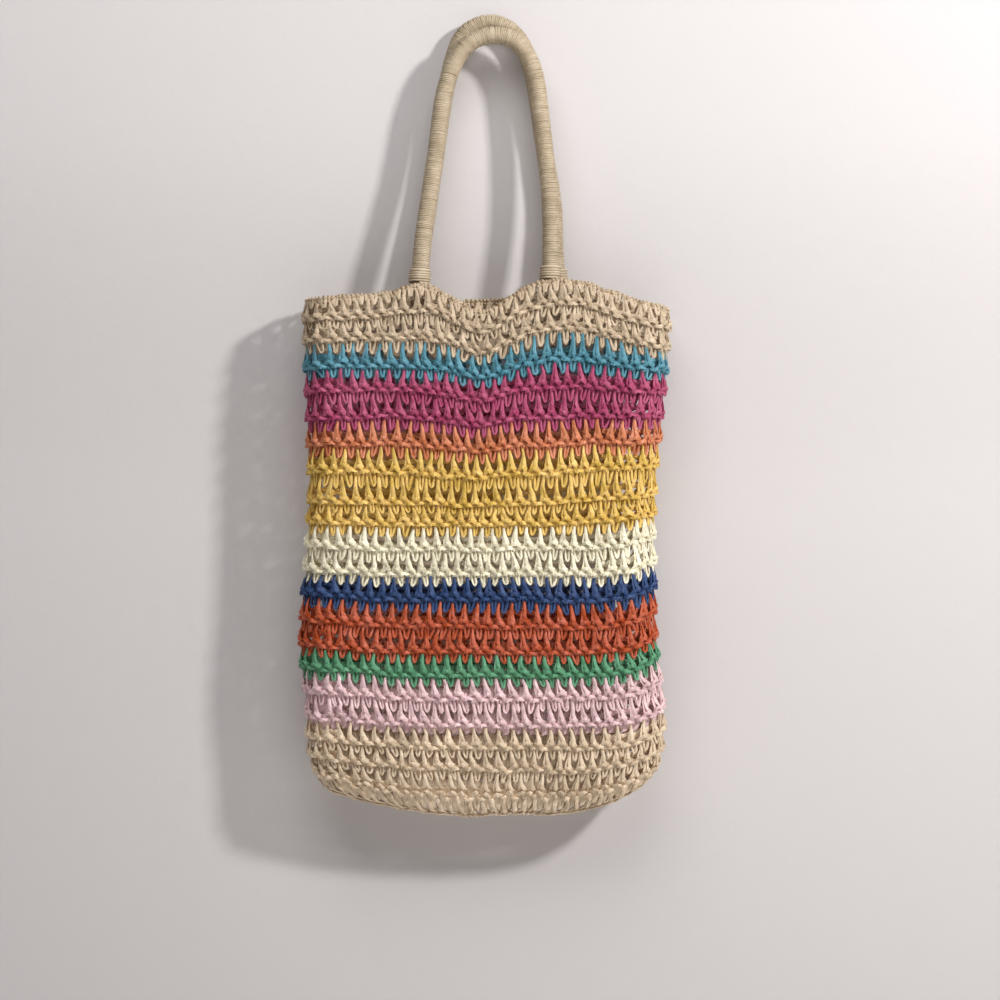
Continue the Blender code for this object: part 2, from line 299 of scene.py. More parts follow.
# Wall, floor, light and camera
WALL_Y = 0.045
WALL_LEAN, LEAN_FROM, LEAN_TO = 0.027, -0.36, -0.06
WALL_HALF_WIDTH, WALL_TOP, WALL_STEPS = 2.2, 1.4, 80
FLOOR_Z, FLOOR_HALF_WIDTH = -0.80, 3
WALL_COLOUR = (0.672, 0.643, 0.649)
FLOOR_COLOUR = (0.78, 0.76, 0.74)
SKY_COLOUR, SKY_STRENGTH = (0.97, 0.97, 1.0), 0.110

# Lamps, all aimed at the same spot: place, size, watts, colour
LAMPS_AIM = (0.0, 0.0, -0.38)
LAMPS = {
    "lamp": ((1.25, -1.05, 0.50), (0.16, 0.16), 26.3, (1.0, 0.98, 0.96)),
    "ceiling": ((-0.15, -1.0, 0.95), (1.3, 0.9), 14.5, (1.0, 0.985, 0.97)),
    "rear": ((0.3, 1.4, 0.6), (1.2, 1.0), 5.0, (1.0, 0.985, 0.97)),
}
CAMERA_PLACE = (0.008, -1.6, -0.3608)
CAMERA_LENS, SENSOR_WIDTH = 71.5, 36.0


# Form of the body


def ease(x):
    x = np.clip(x, 0.0, 1.0)
    return x * x * (3 - 2 * x)


def mix(a, b, share):
    return a + (b - a) * share


def bell(x, middle, reach):
    return np.exp(-(((x - middle) / reach) ** 2))


def base_turn(drop):
    return np.clip((drop - BODY_HEIGHT + BASE_TURN) / BASE_TURN, 0.0, 1.0)


def half_width(drop):
    to_waist = mix(RIM_WIDTH, WAIST_WIDTH, ease(drop / WAIST_DROP))
    to_hip = mix(WAIST_WIDTH, HIP_WIDTH, ease((drop - WAIST_DROP) / (HIP_DROP - WAIST_DROP)))
    wide = np.where(drop < WAIST_DROP, to_waist, to_hip)
    return wide / 2 - BASE_INSET * (1 - np.sqrt(1 - base_turn(drop) ** 2))


def half_depth(drop):
    deep = mix(RIM_DEPTH, BODY_DEPTH, ease(drop / WAIST_DROP))
    return mix(SEAM_DEPTH, deep, np.sqrt(1 - base_turn(drop) ** 2)) / 2


def middle_x(drop):
    back = ease((drop - SHIFT_FROM) / (SHIFT_TO - SHIFT_FROM))
    return mix(RIM_MIDDLE, HIP_MIDDLE, ease(drop / HIP_DROP)) + BASE_SHIFT * back


def level(x, y, drop):
    across = (x - middle_x(drop)) / half_width(drop)
    grown = ease(drop / HIP_DROP)
    turned = ease(base_turn(drop)) * across**2
    left_curl = mix(-CORNER_DROOP, CURL_LEFT, grown) * across**4 + SEAM_CURL_LEFT * turned
    right_curl = CURL_RIGHT * grown * across**6 + SEAM_CURL_RIGHT * turned
    z = -MOUTH_DROP - drop - TILT * x + np.where(across < 0, left_curl, right_curl)
    left_foot = HANDLE_MIDDLE - HANDLE_SPREAD / 2
    right_foot = HANDLE_MIDDLE + HANDLE_SPREAD / 2
    below = np.maximum(drop, 0.0)
    straightened = ease(below / LEVEL_FROM)
    straightened *= 1 - ease((drop - TILTED_FROM) / (TILTED_TO - TILTED_FROM))
    z += TILT_LOST * (x - LEVEL_X) * straightened
    z += SIDE_LIFT * bell(x, LIFT_X, LIFT_REACH) * bell(drop, LIFT_DROP, LIFT_HEIGHT)
    left_rise = RISE_LEFT * bell(x, left_foot, REACH_LEFT) * bell(below, 0, FADE_LEFT)
    right_middle = right_foot + RISE_OUTSIDE * REACH_RIGHT
    right_rise = RISE_RIGHT * bell(x, right_middle, REACH_RIGHT) * bell(below, 0, FADE_RIGHT)
    dip = DIP * bell(x, HANDLE_MIDDLE, DIP_REACH) * bell(below, 0, DIP_FADE)
    return z + left_rise + right_rise - dip * np.where(y < 0, 1.0, BACK_DIP_SHARE)


def form_points(share, drop):
    """Points of the body's form: share runs from the back's middle by the left side."""
    deep = half_depth(drop)
    straight = half_width(drop) - deep
    girth = 4 * straight + 2 * math.pi * deep
    run = share * girth
    marks = (straight, math.pi * deep, 2 * straight, math.pi * deep)
    flat = np.zeros_like(run)
    angle = np.full_like(run, math.pi / 2)
    first = run < marks[0]
    flat = np.where(first, -run / straight, flat)
    start = marks[0]
    left = (run >= start) & (run < start + marks[1])
    flat = np.where(left, -1.0, flat)
    angle = np.where(left, math.pi / 2 + (run - start) / deep, angle)
    start = start + marks[1]
    front = (run >= start) & (run < start + marks[2])
    flat = np.where(front, -1.0 + (run - start) / straight, flat)
    angle = np.where(front, 1.5 * math.pi, angle)
    start = start + marks[2]
    right = (run >= start) & (run < start + marks[3])
    flat = np.where(right, 1.0, flat)
    angle = np.where(right, 1.5 * math.pi + (run - start) / deep, angle)
    start = start + marks[3]
    last = run >= start
    flat = np.where(last, 1.0 - (run - start) / straight, flat)
    angle = np.where(last, 2.5 * math.pi, angle)
    swell = BELLY * (1 - flat**2) * (1 - base_turn(drop))
    x = middle_x(drop) + straight * flat + np.cos(angle) * (deep + swell)
    y = np.sin(angle) * (deep + swell)
    return np.stack([x, y, level(x, y, drop)], axis=-1)


def drop_of_round(line):
    """Drop below the mouth of a round's chain line, whose number may be a fraction."""
    lines = np.arange(len(ROUND_HEIGHTS) + 1)
    drops = np.concatenate([[0.0], np.cumsum(ROUND_HEIGHTS)])
    drop = np.interp(line, lines, drops)
    drop = np.where(line < 0, line * ROUND_HEIGHTS[0], drop)
    beyond = line - len(ROUND_HEIGHTS)
    return np.where(beyond > 0, BODY_HEIGHT + beyond * ROUND_HEIGHTS[-1], drop)


def body_form():
    """Grid of the body's form with its UV: round share across, round number share down."""
    lines = np.linspace(-ABOVE_MOUTH, len(ROUND_HEIGHTS) + BELOW_SEAM, FORM_LINES)
    shares = np.linspace(0, 1, FORM_COLUMNS + 1)
    share, line = np.meshgrid(shares, lines)
    points = form_points(share, drop_of_round(line))
    side_step = np.gradient(points, axis=1)
    down_step = np.gradient(points, axis=0)
    outward = np.cross(down_step, side_step)
    outward /= np.linalg.norm(outward, axis=-1, keepdims=True)
    count = points.shape[0] * points.shape[1]
    numbers = np.arange(count).reshape(points.shape[:2])
    corners = np.stack(
        [numbers[:-1, :-1], numbers[1:, :-1], numbers[1:, 1:], numbers[:-1, 1:]], axis=-1
    )
    mesh = bpy.data.meshes.new("body_form")
    mesh.from_pydata(points.reshape(-1, 3).tolist(), [], corners.reshape(-1, 4).tolist())
    place = np.stack([share, (line + ABOVE_MOUTH) / (lines[-1] - lines[0]), share * 0], axis=-1)
    for name, values in (("place", place), ("outward", outward)):
        layer = mesh.attributes.new(name, "FLOAT_VECTOR", "POINT")
        layer.data.foreach_set("vector", values.reshape(-1).astype(np.float32))
    form = bpy.data.objects.new("body_form", mesh)
    bpy.context.scene.collection.objects.link(form)
    return form


# Node tools


class Tree:
    """Short hand for adding and linking nodes."""

    def __init__(self, tree):
        self.tree = tree

    def add(self, kind, values=None, **settings):
        node = self.tree.nodes.new(kind)
        for name, value in settings.items():
            setattr(node, name, value)
        for key, value in (values or {}).items():
            self.put(value, node.inputs[key])
        return node

    def put(self, value, socket):
        if isinstance(value, bpy.types.NodeSocket):
            self.tree.links.new(value, socket)
        else:
            socket.default_value = value

    def math(self, operation, a, b=0.0, c=0.0):
        node = self.add("ShaderNodeMath", {0: a, 1: b, 2: c}, operation=operation)
        return node.outputs[0]

    def vector(self, operation, a, b=(0.0, 0.0, 0.0)):
        node = self.add("ShaderNodeVectorMath", {0: a, 1: b}, operation=operation)
        return node.outputs[0]

    def scaled(self, vector, factor):
        node = self.add("ShaderNodeVectorMath", {0: vector, "Scale": factor}, operation="SCALE")
        return node.outputs[0]

    def xyz(self, x, y, z):
        return self.add("ShaderNodeCombineXYZ", {0: x, 1: y, 2: z}).outputs[0]

    def parts(self, vector):
        return self.add("ShaderNodeSeparateXYZ", {0: vector}).outputs


def geometry_tree(name, inputs):
    """New Geometry Nodes tree with a geometry in and out and the named inputs."""
    tree = bpy.data.node_groups.new(name, "GeometryNodeTree")
    tree.interface.new_socket("Geometry", in_out="INPUT", socket_type="NodeSocketGeometry")
    tree.interface.new_socket("Geometry", in_out="OUTPUT", socket_type="NodeSocketGeometry")
    for label, kind in inputs:
        tree.interface.new_socket(label, in_out="INPUT", socket_type=f"NodeSocket{kind}")
    tools = Tree(tree)
    return tools, tools.add("NodeGroupInput").outputs, tools.add("NodeGroupOutput")


def set_inputs(modifier, values):
    for socket in modifier.node_group.interface.items_tree:
        if socket.in_out == "INPUT" and socket.name in values:
            modifier[socket.identifier] = values[socket.name]


def plain_mesh(source):
    """Mesh of the source object as it stands now, with its modifier and bevel applied."""
    bpy.context.view_layer.update()
    graph = bpy.context.evaluated_depsgraph_get()
    return bpy.data.meshes.new_from_object(source.evaluated_get(graph))


def made_mesh(name, source, tree, values):
    """Plain mesh made by running a tree on the source object."""
    modifier = source.modifiers.new(name, "NODES")
    modifier.node_group = tree
    set_inputs(modifier, values)
    mesh = plain_mesh(source)
    source.modifiers.remove(modifier)
    return mesh


# Yarn


def yarn_sweep(tools, curve, radius, sides, flatness, crease, smooth, material):
    """Sweep a flattened, creased strand along a curve and keep how far along and round it
    each point lies, for its finish."""
    spline = tools.add("GeometryNodeSplineParameter")
    strand = tools.add("GeometryNodeCurveOfPoint").outputs["Curve Index"]
    along = tools.math("MULTIPLY_ADD", strand, 0.173, spline.outputs["Length"])
    kept = tools.add(
        "GeometryNodeStoreNamedAttribute",
        {"Geometry": curve, "Name": "along", "Value": along},
        data_type="FLOAT",
        domain="POINT",
    )
    ring = tools.add("GeometryNodeCurvePrimitiveCircle", {"Resolution": sides, "Radius": 1.0})
    factor = tools.add("GeometryNodeSplineParameter").outputs["Factor"]
    angle = tools.math("MULTIPLY", factor, 2 * math.pi)
    facing = tools.xyz(tools.math("COSINE", angle), tools.math("SINE", angle), 0.0)
    ring_kept = tools.add(
        "GeometryNodeStoreNamedAttribute",
        {"Geometry": ring.outputs["Curve"], "Name": "facing", "Value": facing},
        data_type="FLOAT_VECTOR",
        domain="POINT",
    )
    number = tools.add("GeometryNodeInputIndex").outputs[0]
    valley = tools.math("SUBTRACT", 1.0, tools.math("MODULO", number, 2.0))
    inward = tools.math("MULTIPLY", tools.math("MULTIPLY", valley, crease), -1.0)
    corner = tools.add("GeometryNodeInputPosition").outputs[0]
    creased = tools.add(
        "GeometryNodeSetPosition",
        {"Geometry": ring_kept.outputs[0], "Offset": tools.scaled(corner, inward)},
    )
    flat = tools.add(
        "GeometryNodeTransform",
        {"Geometry": creased.outputs[0], "Scale": tools.xyz(flatness, 1.0, 1.0)},
    )
    swept = tools.add(
        "GeometryNodeCurveToMesh",
        {
            "Curve": kept.outputs[0],
            "Profile Curve": flat.outputs[0],
            "Scale": radius,
            "Fill Caps": True,
        },
    )
    shaded = tools.add(
        "GeometryNodeSetShadeSmooth", {"Geometry": swept.outputs[0], "Shade Smooth": smooth}
    )
    painted = tools.add(
        "GeometryNodeSetMaterial", {"Geometry": shaded.outputs[0], "Material": material}
    )
    return painted.outputs[0]


def worked_rounds_tree():
    """Strands of one stitch over and over in rounds, laid on the body's form."""
    tools, given, result = geometry_tree(
        "worked_rounds",
        (
            ("Form", "Object"),
            ("Straw", "Material"),
            ("Stitches", "Int"),
            ("First stitch", "Int"),
            ("Worked", "Int"),
            ("Rounds", "Int"),
            ("First line", "Float"),
            ("Above mouth", "Float"),
            ("Lines in form", "Float"),
            ("Yarn radius", "Float"),
            ("Sides", "Int"),
            ("Smoothness", "Int"),
            ("Flatness", "Float"),
            ("Crease", "Float"),
            ("Drift", "Float"),
            ("Looseness", "Float"),
            ("Seed", "Float"),
        ),
    )
    index = tools.add("GeometryNodeInputIndex").outputs[0]
    stitches, worked = given["Stitches"], given["Worked"]
    count = tools.math("MULTIPLY", worked, given["Rounds"])
    column = tools.math("ADD", tools.math("MODULO", index, worked), given["First stitch"])
    row = tools.math("FLOOR", tools.math("DIVIDE", tools.math("ADD", index, 0.5), worked))
    line = tools.math("ADD", row, given["First line"])
    drifted = tools.math("MULTIPLY_ADD", line, given["Drift"], column)
    spots = tools.add(
        "GeometryNodePoints", {"Count": count, "Position": tools.xyz(drifted, line, 0.0)}
    )
    copies = tools.add(
        "GeometryNodeInstanceOnPoints",
        {"Points": spots.outputs[0], "Instance": given["Geometry"]},
    )
    real = tools.add("GeometryNodeRealizeInstances", {"Geometry": copies.outputs[0]})

    place = tools.add("GeometryNodeInputPosition").outputs[0]
    x, y, out = tools.parts(place)
    turn = tools.math("MULTIPLY", tools.math("DIVIDE", x, stitches), 2 * math.pi)
    reach = tools.math("DIVIDE", stitches, 2 * math.pi)
    ring = tools.xyz(
        tools.math("MULTIPLY", tools.math("COSINE", turn), reach),
        tools.math("MULTIPLY", tools.math("SINE", turn), reach),
        tools.math("MULTIPLY", y, ROUND_APART),
    )
    shift = None
    for scale, ranges in WANDER:
        noise = tools.add(
            "ShaderNodeTexNoise",
            {"Vector": ring, "W": given["Seed"], "Scale": scale, "Detail": 1.0},
            noise_dimensions="4D",
        )
        centred = tools.vector("SUBTRACT", noise.outputs["Color"], (0.5, 0.5, 0.5))
        moved = tools.vector("MULTIPLY", centred, ranges)
        shift = moved if shift is None else tools.vector("ADD", shift, moved)
    shift_x, shift_y, shift_out = tools.parts(tools.scaled(shift, given["Looseness"]))
    around = tools.math("DIVIDE", tools.math("ADD", x, shift_x), stitches)
    around = tools.math("FLOORED_MODULO", around, 1.0)
    down = tools.math("ADD", tools.math("ADD", y, shift_y), given["Above mouth"])
    down = tools.math("DIVIDE", down, given["Lines in form"])
    sample_at = tools.xyz(around, tools.math("MINIMUM", down, 0.9999), 0.0)
    form = tools.add("GeometryNodeObjectInfo", {"Object": given["Form"]})
    uv = tools.add("GeometryNodeInputNamedAttribute", {"Name": "place"}, data_type="FLOAT_VECTOR")
    outward = tools.add(
        "GeometryNodeInputNamedAttribute", {"Name": "outward"}, data_type="FLOAT_VECTOR"
    )
    spot = tools.add("GeometryNodeInputPosition").outputs[0]
    sampled = []
    for value in (spot, outward.outputs["Attribute"]):
        sample = tools.add("GeometryNodeSampleUVSurface", data_type="FLOAT_VECTOR")
        tools.put(form.outputs["Geometry"], sample.inputs["Mesh"])
        tools.put(value, sample.inputs["Value"])
        tools.put(uv.outputs["Attribute"], sample.inputs["UV Map"])
        tools.put(sample_at, sample.inputs["Sample UV"])
        sampled.append(sample.outputs[0])
    facing = tools.add(
        "GeometryNodeStoreNamedAttribute",
        {"Geometry": real.outputs[0], "Name": "wall_outward", "Value": sampled[1]},
        data_type="FLOAT_VECTOR",
        domain="POINT",
    )
    proud = tools.scaled(sampled[1], tools.math("ADD", out, shift_out))
    laid = tools.add(
        "GeometryNodeSetPosition",
        {"Geometry": facing.outputs[0], "Position": tools.vector("ADD", sampled[0], proud)},
    )
    joined = tools.add(
        "GeometryNodeMergeByDistance", {"Geometry": laid.outputs[0], "Distance": MERGE_WITHIN}
    )
    curve = tools.add("GeometryNodeMeshToCurve", {"Mesh": joined.outputs[0]})
    typed = tools.add(
        "GeometryNodeCurveSplineType", {"Curve": curve.outputs[0]}, spline_type="CATMULL_ROM"
    )
    rounded = tools.add(
        "GeometryNodeSetSplineResolution",
        {"Geometry": typed.outputs[0], "Resolution": given["Smoothness"]},
    )
    wall_outward = tools.add(
        "GeometryNodeInputNamedAttribute", {"Name": "wall_outward"}, data_type="FLOAT_VECTOR"
    )
    faced = tools.add(
        "GeometryNodeSetCurveNormal",
        {"Curve": rounded.outputs[0], "Normal": wall_outward.outputs["Attribute"]},
        mode="FREE",
    )
    along_wall = tools.add("GeometryNodeInputPosition").outputs[0]
    uneven = tools.add(
        "ShaderNodeTexNoise",
        {"Vector": along_wall, "W": given["Seed"], "Scale": UNEVEN_SCALE, "Detail": 0.0},
        noise_dimensions="4D",
    )
    roll, swell, _ = tools.parts(uneven.outputs["Color"])
    roll = tools.math("MULTIPLY", tools.math("SUBTRACT", roll, 0.5), ROLL)
    tilted = tools.add("GeometryNodeSetCurveTilt", {"Curve": faced.outputs[0], "Tilt": roll})
    thickness = tools.add(
        "GeometryNodeInputNamedAttribute", {"Name": "thickness"}, data_type="FLOAT"
    ).outputs["Attribute"]
    swell = tools.math("MULTIPLY_ADD", swell, SWELL, THINNEST)
    radius = tools.math("MULTIPLY", given["Yarn radius"], tools.math("MULTIPLY", thickness, swell))
    swept = yarn_sweep(
        tools,
        tilted.outputs[0],
        radius,
        given["Sides"],
        given["Flatness"],
        given["Crease"],
        False,
        given["Straw"],
    )
    done = tools.add("GeometryNodeRealizeInstances", {"Geometry": swept})
    tools.put(done.outputs[0], result.inputs[0])
    return tools.tree


def stitch(name, strands, linked):
    """Polylines of one stitch; a linked strand ends where the next stitch's begins."""
    points, edges, thickness = [], [], []
    for strand in strands:
        across, down, out, thick = strand[0]
        course = (*strand, (across + 1, down, out, thick)) if linked else strand
        first = len(points)
        for across, down, out, thick in course:
            points.append((across, down, out / 1000))
            thickness.append(thick)
        edges += [(i, i + 1) for i in range(first, len(points) - 1)]
    mesh = bpy.data.meshes.new(name)
    mesh.from_pydata(points, edges, [])
    mesh.attributes.new("thickness", "FLOAT", "POINT").data.foreach_set("value", thickness)
    made = bpy.data.objects.new(name, mesh)
    bpy.context.scene.collection.objects.link(made)
    return made


def sewn_edge(middle, reach, thickness):
    """Strand of one stitch that turns round and round over an edge at this height, with
    its reach down in rounds and out in millimetres."""
    count = EDGE_TURNS * EDGE_POINTS
    strand = []
    for i in range(count):
        angle = 2 * math.pi * i / EDGE_POINTS
        down = middle - reach[0] * math.cos(angle)
        strand.append((i / count, down, reach[1] * math.sin(angle), thickness))
    return tuple(strand)


def joined_object(name, meshes, material):
    """One object at the origin from plain meshes with the same finish."""
    made = bpy.data.objects.new(name, meshes[0])
    bpy.context.scene.collection.objects.link(made)
    others = []
    for mesh in meshes[1:]:
        other = bpy.data.objects.new(name, mesh)
        bpy.context.scene.collection.objects.link(other)
        others.append(other)
    if others:
        with bpy.context.temp_override(
            active_object=made,
            object=made,
            selected_editable_objects=[made, *others],
            selected_objects=[made, *others],
        ):
            bpy.ops.object.join()
    made.data.materials.clear()
    made.data.materials.append(material)
    return made


def crocheted_stripes(form, materials):
    """Every stripe of the body as its own piece of worked yarn."""
    tree = worked_rounds_tree()
    links = stitch("links", LINKS, linked=True)
    edge = stitch("edge", [sewn_edge(*strand) for strand in EDGE_STRANDS], linked=True)
    inside = stitch("inside_turns", INSIDE_TURNS, linked=True)
    seam_links = stitch("seam_links", SEAM_LINKS, linked=True)
    legs = stitch("legs", LEGS, linked=False)
    folds = stitch("folds", FOLDS, linked=False)
    loops = stitch("loops", (LOOP,), linked=False)
    wraps = stitch("hidden_wraps", HIDDEN_WRAPS, linked=False)
    short_loops = stitch("short_loops", (SHORT_LOOP,), linked=False)
    first = 0
    for node, rounds in STRIPES:
        material = materials[node]
        shared = {
            "Form": form,
            "Straw": material,
            "Stitches": STITCHES,
            "First stitch": 0,
            "Worked": STITCHES,
            "Above mouth": ABOVE_MOUTH,
            "Lines in form": len(ROUND_HEIGHTS) + ABOVE_MOUTH + BELOW_SEAM,
            "Yarn radius": YARN_RADIUS,
            "Sides": YARN_SIDES,
            "Smoothness": 1,
            "Crease": CREASE,
            "Drift": ROUND_DRIFT,
            "Looseness": LOOSENESS,
            "Seed": 0.0,
        }
        count = len(rounds)
        last = first + count
        flat = {"Flatness": HIDDEN_FLATNESS, "Sides": HIDDEN_SIDES, "Crease": 0.0}
        back_part = {"Drift": 0.0, "First stitch": -STITCHES // 3, "Worked": 2 * STITCHES // 3}
        worked = count - 1 if node == "base_band" else count
        looped = count - 2 if node == "base_band" else count
        hanging = 1 if node == "pink_band" else looped
        chain = {"First line": first + 1.0, "Flatness": CHAIN_FLATNESS}
        runs = [
            (links, {**chain, "Rounds": looped}),
            (legs, {**chain, "Rounds": worked, "Flatness": LEG_FLATNESS}),
            (loops, {**chain, "Rounds": hanging, "Smoothness": 2}),
            (wraps, {**chain, "Rounds": worked, **flat}),
            (inside, {"First line": float(first), "Rounds": count, **flat, **back_part}),
        ]
        if node == "rim_band":
            mouth = {"Rounds": 1, "First line": 0.0, "Flatness": CHAIN_FLATNESS}
            runs += [
                (edge, {**mouth, "Smoothness": 2}),
                (wraps, {**mouth, **flat, "First line": EDGE_LINE}),
                (short_loops, mouth),
            ]
        if node == "base_band":
            turned = {
                "Rounds": 1,
                "First line": last - 1 + TURNED_LINE,
                "Flatness": CHAIN_FLATNESS,
            }
            turned_chain = {
                **turned,
                "Yarn radius": TURNED_THICKNESS * YARN_RADIUS,
                "Looseness": TURNED_LOOSENESS,
            }
            seam = {"Rounds": 1, "First line": float(last), "Flatness": SEAM_FLATNESS}
            lowest = {"Rounds": 1, "First line": last - 1.0, **flat, "Drift": 0.0}
            runs += [
                (links, turned_chain),
                (seam_links, seam),
                (folds, seam),
                (short_loops, {**turned, "Flatness": SHORT_LOOP_FLATNESS}),
                (inside, lowest),
            ]
        meshes = [made_mesh(node, source, tree, {**shared, **own}) for source, own in runs]
        piece = joined_object(f"{node}_yarn", meshes, material)
        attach(piece, "root")
        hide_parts(node)
        first = last
    templates = (links, edge, inside, seam_links, legs, folds, loops, wraps, short_loops)
    for helper in (*templates, form):
        bpy.data.objects.remove(helper)


# Handles


def smooth_route(points, step):
    """Points at about equal steps along a smooth curve through the given ones."""
    fine = []
    padded = [2 * points[0] - points[1], *points, 2 * points[-1] - points[-2]]
    for a, b, c, d in zip(padded, padded[1:], padded[2:], padded[3:]):
        for i in range(16):
            t = i / 16
            bend = a * 2 - b * 5 + c * 4 - d
            twist = b * 3 - a - c * 3 + d
            fine.append((b * 2 + (c - a) * t + bend * t**2 + twist * t**3) / 2)
    fine.append(points[-1])
    route = [fine[0]]
    for point in fine[1:]:
        if (point - route[-1]).length >= step:
            route.append(point)
    route.append(fine[-1])
    return route


def lining_y(x):
    flat = (x - RIM_MIDDLE) / (RIM_WIDTH / 2 - RIM_DEPTH / 2)
    return RIM_DEPTH / 2 + BELLY * (1 - flat**2) - WALL_THICKNESS


def handle_route(course, side):
    """Centre line of a handle; side is -1 for the front one and 1 for the back one."""
    crown_y = HANDLE_RADIUS + CROWNS_APART / 2
    points = []
    for across, up in course:
        x = HANDLE_MIDDLE + across * HANDLE_SPREAD / 2
        foot_y = lining_y(x) - SEATED - HANDLE_RADIUS
        mouth = float(level(np.float64(x), np.float64(side), np.float64(0)))
        y = side * mix(foot_y, crown_y, float(ease(up)))
        points.append(Vector((x, y, mix(mouth, HANDLE_RADIUS, up))))
    tuck = Vector((0, 0, FOOT_TUCK))
    return smooth_route([points[0] - tuck, *points, points[-1] - tuck], ROUTE_STEP)


def twine_winding_tree():
    """Twine wound round and round a rope that follows the curve."""
    tools, given, result = geometry_tree(
        "twine_winding",
        (
            ("Twine", "Material"),
            ("Pitch", "Float"),
            ("Winding radius", "Float"),
            ("Twine radius", "Float"),
            ("Points in a turn", "Float"),
            ("Sides", "Int"),
            ("Seed", "Float"),
        ),
    )
    length = tools.add("GeometryNodeCurveLength", {"Curve": given["Geometry"]}).outputs[0]
    turns = tools.math("DIVIDE", length, given["Pitch"])
    count = tools.math("MULTIPLY", turns, given["Points in a turn"])
    fine = tools.add("GeometryNodeResampleCurve", {"Curve": given["Geometry"], "Count": count})
    normal = tools.add("GeometryNodeInputNormal").outputs[0]
    tangent = tools.add("GeometryNodeInputTangent").outputs[0]
    side = tools.vector("CROSS_PRODUCT", tangent, normal)
    factor = tools.add("GeometryNodeSplineParameter").outputs["Factor"]
    angle = tools.math("MULTIPLY", tools.math("MULTIPLY", factor, turns), 2 * math.pi)
    wobble = tools.add(
        "ShaderNodeTexNoise",
        {
            "Vector": tools.xyz(tools.math("MULTIPLY", factor, turns), given["Seed"], 0.0),
            "Scale": WOBBLE_SCALE,
            "Detail": 2.0,
        },
        noise_dimensions="3D",
    )
    parts = tools.parts(tools.vector("SUBTRACT", wobble.outputs["Color"], (0.5, 0.5, 0.5)))
    radius = tools.math("MULTIPLY_ADD", parts[0], RADIUS_WOBBLE, given["Winding radius"])
    slip = tools.math("MULTIPLY", parts[1], tools.math("MULTIPLY", given["Pitch"], SLIP))
    round_about = tools.vector(
        "ADD",
        tools.scaled(normal, tools.math("MULTIPLY", tools.math("COSINE", angle), radius)),
        tools.scaled(side, tools.math("MULTIPLY", tools.math("SINE", angle), radius)),
    )
    offset = tools.vector("ADD", round_about, tools.scaled(tangent, slip))
    wound = tools.add(
        "GeometryNodeSetPosition", {"Geometry": fine.outputs[0], "Offset": offset}
    )
    uneven = tools.math("MULTIPLY_ADD", parts[2], THICKNESS_CHANGE, 1.0)
    thickness = tools.math("MULTIPLY", given["Twine radius"], uneven)
    swept = yarn_sweep(
        tools, wound.outputs[0], thickness, given["Sides"], 1.0, 0.0, True, given["Twine"]
    )
    done = tools.add("GeometryNodeRealizeInstances", {"Geometry": swept})
    tools.put(done.outputs[0], result.inputs[0])
    return tools.tree


def route_curve(name, route):
    data = bpy.data.curves.new(name, "CURVE")
    data.dimensions = "3D"
    spline = data.splines.new("POLY")
    spline.points.add(len(route) - 1)
    for point, place in zip(spline.points, route):
        point.co = (*place, 1.0)
    made = bpy.data.objects.new(name, data)
    bpy.context.scene.collection.objects.link(made)
    return made


def rope_core(name, route, node, material):
    """Plain rope along the route, in place of the node's own."""
    source = route_curve(f"{name}_route", route)
    source.data.bevel_depth = CORE_RADIUS
    source.data.bevel_resolution = 3
    source.data.use_fill_caps = True
    mesh = plain_mesh(source)
    bpy.data.objects.remove(source)
    mesh.shade_smooth()
    piece = joined_object(name, [mesh], material)
    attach(piece, "root")
    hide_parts(node)


def wound_piece(name, tree, route, values, node, material):
    source = route_curve(f"{name}_route", route)
    mesh = made_mesh(name, source, tree, {"Twine": material, **values})
    bpy.data.objects.remove(source)
    piece = joined_object(name, [mesh], material)
    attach(piece, "root")
    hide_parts(node)


def wound_handles(material, rope):
    """Both handles with their rope, twine and the lashing over each foot."""
    tree = twine_winding_tree()
    for place, course, side, seed in (
        ("front", FRONT_COURSE, -1, 1.0),
        ("back", BACK_COURSE, 1, 8.0),
    ):
        route = handle_route(course, side)
        winding = {
            "Pitch": TWINE_PITCH,
            "Winding radius": HANDLE_RADIUS - TWINE_RADIUS + TWINE_LIFT,
            "Twine radius": TWINE_RADIUS,
            "Points in a turn": TWINE_TURN_POINTS,
            "Sides": TWINE_SIDES,
            "Seed": seed,
        }
        node = f"handle_{place}_winding"
        wound_piece(f"{node}_twine", tree, route, winding, node, material)
        rope_core(f"handle_{place}_rope", route, f"handle_{place}_core", rope)
        for hand, ends in (("left", route), ("right", route[::-1])):
            foot = ends[0]
            mouth = float(level(np.float64(foot.x), np.float64(side), np.float64(0)))
            bottom = mouth + LASHING_LIFT
            turns = [p for p in ends[:40] if bottom <= p.z <= bottom + LASHING_HEIGHT]
            direction = (turns[-1] - turns[0]).normalized()
            start = turns[0] + direction * (bottom - turns[0].z)
            stop = start + direction * LASHING_HEIGHT
            middle = (start + stop) / 2
            lashing = {
                **winding,
                "Pitch": LASHING_PITCH,
                "Winding radius": HANDLE_RADIUS + LASHING_OVER_HANDLE,
                "Twine radius": LASHING_TWINE_RADIUS,
                "Points in a turn": LASHING_TURN_POINTS,
                "Seed": seed + 3,
            }
            node = f"lashing_{place}_{hand}"
            wound_piece(f"{node}_turns", tree, [start, middle, stop], lashing, node, material)


# Finishes


